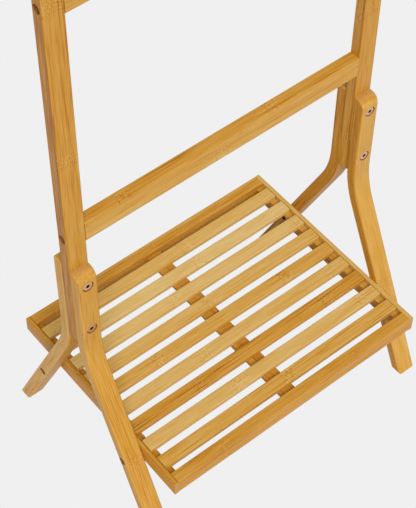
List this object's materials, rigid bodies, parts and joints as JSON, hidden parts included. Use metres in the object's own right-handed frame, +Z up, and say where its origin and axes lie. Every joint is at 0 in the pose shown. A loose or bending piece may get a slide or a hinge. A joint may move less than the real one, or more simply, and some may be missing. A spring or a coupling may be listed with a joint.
{
  "type": "ladder shelf",
  "caption": "Free-standing bamboo ladder shelf: two uprights joined by rails, bent splayed legs and a low slatted tray.",
  "frame": {"origin": "on the floor, at the middle of the footprint", "axes": "+X runs along the rails to the right, +Y to the back, +Z up"},
  "size_m": [0.453, 0.318, 1.2],
  "materials": {
    "bar_bamboo": "clear satin lacquer over fine lengthwise bamboo strips",
    "board_bamboo": "clear satin lacquer, darker caramel bamboo",
    "side_bamboo": "clear satin lacquer over bamboo",
    "slat_bamboo": "clear satin lacquer, tone varies from slat to slat",
    "zinc_steel": "yellow zinc plating, slightly dull"
  },
  "bodies": {
    "root": {"left_upright": "bar_bamboo", "right_upright": "bar_bamboo", "lower_rail": "bar_bamboo", "middle_rail": "bar_bamboo", "top_rail": "bar_bamboo", "left_front_leg": "bar_bamboo", "right_front_leg": "bar_bamboo", "left_rear_leg": "bar_bamboo", "right_rear_leg": "bar_bamboo", "front_board": "board_bamboo", "back_board": "board_bamboo", "left_side_board": "side_bamboo", "right_side_board": "side_bamboo", "left_cleat": "side_bamboo", "right_cleat": "side_bamboo", "middle_strip": "side_bamboo", "slat_1": "slat_bamboo", "slat_2": "slat_bamboo", "slat_3": "slat_bamboo", "slat_4": "slat_bamboo", "slat_5": "slat_bamboo", "slat_6": "slat_bamboo", "slat_7": "slat_bamboo", "slat_8": "slat_bamboo", "slat_9": "slat_bamboo", "leg_bolts": "zinc_steel", "leg_sleeve_nuts": "zinc_steel", "rail_bolts": "zinc_steel", "tray_bolts": "zinc_steel", "rail_inserts": "zinc_steel", "tray_inserts": "zinc_steel", "slat_screws": "zinc_steel"}
  },
  "joints": []
}
